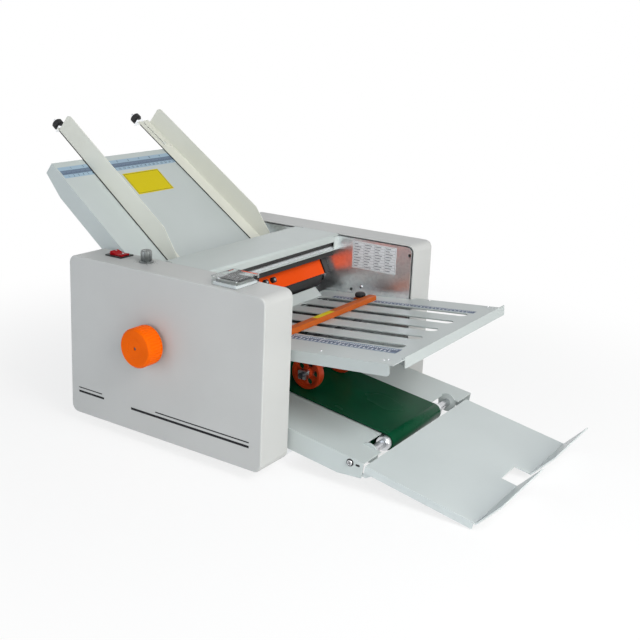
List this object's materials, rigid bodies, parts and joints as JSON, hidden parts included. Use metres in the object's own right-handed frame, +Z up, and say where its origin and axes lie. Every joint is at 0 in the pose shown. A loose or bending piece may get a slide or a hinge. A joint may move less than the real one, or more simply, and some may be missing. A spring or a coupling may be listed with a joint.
{
  "type": "paper folding machine",
  "caption": "Desk-top paper folding machine with a sloping feed table, two adjustable guides, folding rollers, a slotted fold plate, a belt conveyor and a stacker tray",
  "frame": {"origin": "under the middle of the machine's box, on the surface that it stands on", "axes": "+X the way the paper travels, from feed table to stacker tray, +Y from the handwheel's side to the far side, +Z up"},
  "size_m": [0.8431, 0.49, 0.4343],
  "materials": {
    "cover_paint": "semi-gloss powder coat",
    "sheet_paint": "semi-gloss powder coat",
    "zinc_steel": "zinc plated sheet",
    "bright_steel": "ground steel",
    "aluminium": "turned aluminium",
    "roller_rubber": "ground rubber",
    "green_belt": "smooth coated belt",
    "orange_plastic": "moulded",
    "orange_paint": "gloss paint",
    "red_plastic": "moulded",
    "black_plastic": "moulded",
    "clear_plastic": "clear moulded",
    "black_steel": "black finish"
  },
  "bodies": {
    "frame": {"near_side_cover": "cover_paint", "far_side_cover": "cover_paint", "near_side_plate": "zinc_steel", "far_side_plate": "zinc_steel", "base_pan": "zinc_steel", "feet": "roller_rubber", "tie_rods": "bright_steel", "front_cross_plate": "sheet_paint", "shaft_bearings": "bright_steel", "feed_table": "sheet_paint", "guide_rod": "bright_steel", "separator_holder": "zinc_steel", "guard_plate": "orange_paint", "guard_arms": "black_plastic", "pressure_screws": "black_plastic", "upper_fold_plate": "sheet_paint", "lower_fold_plate": "sheet_paint", "rear_upper_plate": "sheet_paint", "rear_lower_plate": "sheet_paint", "delivery_deck": "sheet_paint", "conveyor_belt": "green_belt", "front_axle": "bright_steel", "switch_bezel": "black_plastic", "counter_body": "black_plastic", "counter_cover": "clear_plastic", "motor": "black_plastic", "drive_belts": "roller_rubber", "mains_inlet": "black_plastic"},
    "hood": {"hood": "cover_paint"},
    "near_guide": {"near_guide": "sheet_paint"},
    "far_guide": {"far_guide": "sheet_paint"},
    "near_extension": {"near_guide_extension": "zinc_steel"},
    "far_extension": {"far_guide_extension": "zinc_steel"},
    "near_clamp": {"near_guide_knob": "black_plastic"},
    "far_clamp": {"far_guide_knob": "black_plastic"},
    "feed_rotor": {"feed_roller": "roller_rubber", "feed_shaft": "bright_steel"},
    "separator": {"separator_pad": "roller_rubber"},
    "rotor_1": {"fold_roller_1": "roller_rubber", "roller_shaft_1": "bright_steel"},
    "rotor_2": {"fold_roller_2": "roller_rubber", "roller_shaft_2": "bright_steel", "handwheel": "orange_plastic", "main_pulley": "aluminium"},
    "rotor_3": {"fold_roller_3": "roller_rubber", "roller_shaft_3": "bright_steel"},
    "rotor_4": {"fold_roller_4": "roller_rubber", "roller_shaft_4": "bright_steel"},
    "motor_rotor": {"motor_pulley": "aluminium"},
    "front_belt_rotor": {"front_belt_roller": "aluminium"},
    "rear_belt_rotor": {"rear_belt_roller": "bright_steel"},
    "stop_bar": {"stop_bar": "orange_paint"},
    "near_stop_clamp": {"near_stop_knob": "black_plastic"},
    "far_stop_clamp": {"far_stop_knob": "black_plastic"},
    "rear_stop": {"rear_stop": "orange_paint"},
    "wheel_swing": {"wheel_arm": "black_steel"},
    "wheel_rotor": {"press_wheels": "red_plastic"},
    "tray": {"stacker_tray": "sheet_paint"},
    "speed_control": {"speed_knob": "aluminium"},
    "rocker": {"rocker": "red_plastic"}
  },
  "joints": [
    {"name": "handwheel_spin", "type": "hinge", "parent": "frame", "child": "rotor_2", "pos_m": [-0.0799, 0.016, 0.155], "axis": [0, 1, 0], "continuous": true},
    {"name": "roller_1_spin", "type": "hinge", "parent": "frame", "child": "rotor_1", "pos_m": [-0.05897, 0.016, 0.18179], "axis": [0, 1, 0], "continuous": true},
    {"name": "roller_3_spin", "type": "hinge", "parent": "frame", "child": "rotor_3", "pos_m": [-0.05045, 0.016, 0.138], "axis": [0, 1, 0], "continuous": true},
    {"name": "roller_4_spin", "type": "hinge", "parent": "frame", "child": "rotor_4", "pos_m": [-0.05897, 0.016, 0.10508], "axis": [0, 1, 0], "continuous": true},
    {"name": "feed_spin", "type": "hinge", "parent": "frame", "child": "feed_rotor", "pos_m": [-0.1018, 0.016, 0.2189], "axis": [0, 1, 0], "continuous": true},
    {"name": "motor_spin", "type": "hinge", "parent": "frame", "child": "motor_rotor", "pos_m": [-0.1069, 0.016, 0.06], "axis": [0, 1, 0], "continuous": true},
    {"name": "rear_belt_roller_spin", "type": "hinge", "parent": "frame", "child": "rear_belt_rotor", "pos_m": [-0.0089, 0.016, 0.068], "axis": [0, 1, 0], "continuous": true},
    {"name": "front_belt_roller_spin", "type": "hinge", "parent": "frame", "child": "front_belt_rotor", "pos_m": [0.2111, 0.016, 0.0365], "axis": [0, 1, 0], "continuous": true},
    {"name": "press_wheel_spin", "type": "hinge", "parent": "wheel_swing", "child": "wheel_rotor", "pos_m": [0.0626, 0.016, 0.0956], "axis": [0, 1, 0], "continuous": true},
    {"name": "hood_hinge", "type": "hinge", "parent": "frame", "child": "hood", "pos_m": [-0.1049, 0.016, 0.247], "axis": [0, -1, 0], "range_deg": [0, 80]},
    {"name": "near_guide_slide", "type": "slide", "parent": "frame", "child": "near_guide", "axis": [0, 1, 0], "range_m": [-0.05, 0.04]},
    {"name": "far_guide_slide", "type": "slide", "parent": "frame", "child": "far_guide", "axis": [0, 1, 0], "range_m": [-0.075, 0.008]},
    {"name": "near_extension_slide", "type": "slide", "parent": "near_guide", "child": "near_extension", "axis": [-0.797, 0, 0.604], "range_m": [0, 0.055]},
    {"name": "far_extension_slide", "type": "slide", "parent": "far_guide", "child": "far_extension", "axis": [-0.7939, -0.0872, 0.6017], "range_m": [0, 0.055]},
    {"name": "near_clamp_turn", "type": "hinge", "parent": "near_extension", "child": "near_clamp", "pos_m": [-0.41102, -0.067, 0.41634], "axis": [-0.797, 0, 0.604], "continuous": true},
    {"name": "far_clamp_turn", "type": "hinge", "parent": "far_extension", "child": "far_clamp", "pos_m": [-0.40895, 0.11224, 0.41477], "axis": [-0.7939, -0.0872, 0.6017], "continuous": true},
    {"name": "separator_tilt", "type": "hinge", "parent": "frame", "child": "separator", "pos_m": [-0.10775, 0.016, 0.18836], "axis": [0, -1, 0], "range_deg": [0, 3.5], "stiffness_Nm_per_rad": 0.2},
    {"name": "stop_bar_slide", "type": "slide", "parent": "frame", "child": "stop_bar", "axis": [0.9961, 0, 0.0882], "range_m": [-0.065, 0.165]},
    {"name": "near_stop_clamp_turn", "type": "hinge", "parent": "stop_bar", "child": "near_stop_clamp", "pos_m": [0.04546, -0.104, 0.17349], "axis": [-0.0882, 0, 0.9961], "continuous": true},
    {"name": "far_stop_clamp_turn", "type": "hinge", "parent": "stop_bar", "child": "far_stop_clamp", "pos_m": [0.04546, 0.14, 0.17349], "axis": [-0.0882, 0, 0.9961], "continuous": true},
    {"name": "rear_stop_slide", "type": "slide", "parent": "frame", "child": "rear_stop", "axis": [0.9205, 0, 0.3907], "range_m": [-0.06, 0.05]},
    {"name": "wheel_arm_pivot", "type": "hinge", "parent": "frame", "child": "wheel_swing", "pos_m": [0.0251, 0.016, 0.12], "axis": [0, -1, 0], "range_deg": [0, 25]},
    {"name": "tray_hinge", "type": "hinge", "parent": "frame", "child": "tray", "pos_m": [0.2211, 0.016, 0.037], "axis": [0, -1, 0], "range_deg": [0, 70]},
    {"name": "speed_knob_turn", "type": "hinge", "parent": "frame", "child": "speed_control", "pos_m": [-0.1239, -0.173, 0.256], "axis": [0, 0, 1], "range_deg": [-135, 135]},
    {"name": "rocker_tilt", "type": "hinge", "parent": "frame", "child": "rocker", "pos_m": [-0.1784, -0.1705, 0.256], "axis": [0, 1, 0], "range_deg": [-14, 0]}
  ],
  "couplings": [
    {"joint": "roller_1_spin", "follows": "handwheel_spin", "ratio": -1},
    {"joint": "roller_3_spin", "follows": "handwheel_spin", "ratio": -1},
    {"joint": "roller_4_spin", "follows": "handwheel_spin", "ratio": 1},
    {"joint": "feed_spin", "follows": "handwheel_spin", "ratio": -0.85714},
    {"joint": "motor_spin", "follows": "handwheel_spin", "ratio": 2.8},
    {"joint": "rear_belt_roller_spin", "follows": "handwheel_spin", "ratio": 1.5},
    {"joint": "front_belt_roller_spin", "follows": "handwheel_spin", "ratio": 1.5},
    {"joint": "press_wheel_spin", "follows": "handwheel_spin", "ratio": -0.744}
  ]
}
